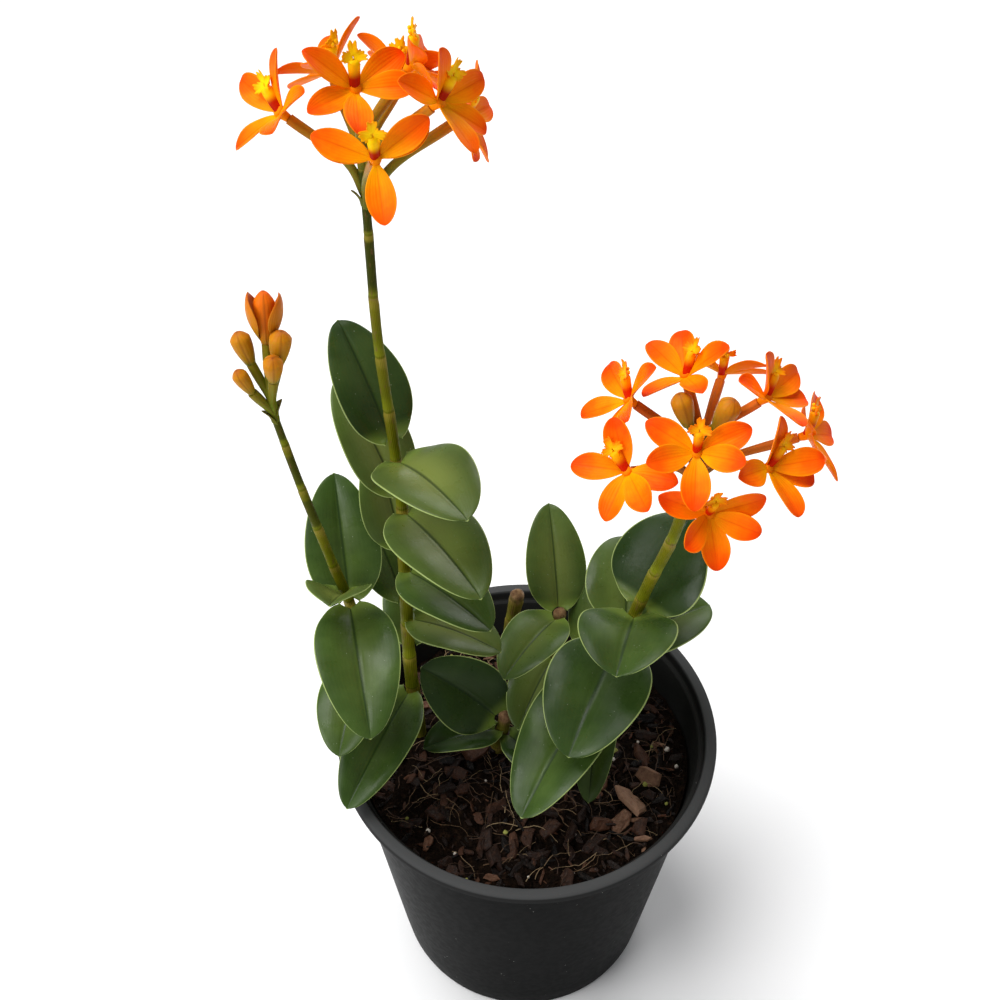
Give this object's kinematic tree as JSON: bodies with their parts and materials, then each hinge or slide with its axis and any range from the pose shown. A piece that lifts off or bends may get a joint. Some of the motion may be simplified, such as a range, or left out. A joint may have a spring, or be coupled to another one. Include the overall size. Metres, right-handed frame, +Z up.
{
  "type": "potted epidendrum orchid",
  "caption": "Reed-stem epidendrum orchid in a round black nursery pot of bark mix: leafy canes, two ball-shaped heads of small fringed blooms, a stem of buds and cut-back cane stubs",
  "frame": {"origin": "centre of the flat underside of the pot, on the surface it stands on", "axes": "+Z up; +X to the right and +Y away from the viewer who sees the blooms' faces; metres"},
  "size_m": [0.1617, 0.14, 0.3816],
  "materials": {
    "pot": "matte black polypropylene",
    "mix": "damp bark chips and fibre",
    "cane": "green sheathed stem, satin",
    "leaf": "thick dark green leaf, satin",
    "tepals": "orange waxy petals, soft sheen",
    "bud": "ochre to orange buds, soft sheen"
  },
  "bodies": {
    "root": {"bloom_right_1": "tepals", "bloom_right_2": "tepals", "bloom_right_3": "tepals", "bloom_right_4": "tepals", "bloom_right_5": "tepals", "bloom_right_6": "tepals", "bloom_right_7": "tepals", "bloom_right_8": "tepals", "bloom_right_9": "tepals", "bloom_tall_1": "tepals", "bloom_tall_2": "tepals", "bloom_tall_3": "tepals", "bloom_tall_4": "tepals", "bloom_tall_5": "tepals", "bloom_tall_6": "tepals", "bloom_tall_7": "tepals", "bud_opening": "bud", "buds_left_1": "bud", "buds_left_2": "bud", "buds_left_3": "bud", "buds_left_4": "bud", "cane_back_stub": "cane", "cane_budding": "cane", "cane_centre_stub": "cane", "cane_front_stub": "cane", "cane_right": "cane", "cane_right_stub": "cane", "cane_tall": "cane", "leaf_budding_1": "leaf", "leaf_budding_2": "leaf", "leaf_budding_3": "leaf", "leaf_budding_4": "leaf", "leaf_centre_1": "leaf", "leaf_centre_2": "leaf", "leaf_centre_3": "leaf", "leaf_front_1": "leaf", "leaf_front_2": "leaf", "leaf_front_3": "leaf", "leaf_right_1": "leaf", "leaf_right_2": "leaf", "leaf_right_3": "leaf", "leaf_right_4": "leaf", "leaf_right_5": "leaf", "leaf_right_6": "leaf", "leaf_right_7": "leaf", "leaf_stub_1": "leaf", "leaf_tall_1": "leaf", "leaf_tall_10": "leaf", "leaf_tall_2": "leaf", "leaf_tall_3": "leaf", "leaf_tall_4": "leaf", "leaf_tall_5": "leaf", "leaf_tall_6": "leaf", "leaf_tall_7": "leaf", "leaf_tall_8": "leaf", "leaf_tall_9": "leaf", "pot": "pot", "potting_mix": "mix"}
  },
  "joints": []
}
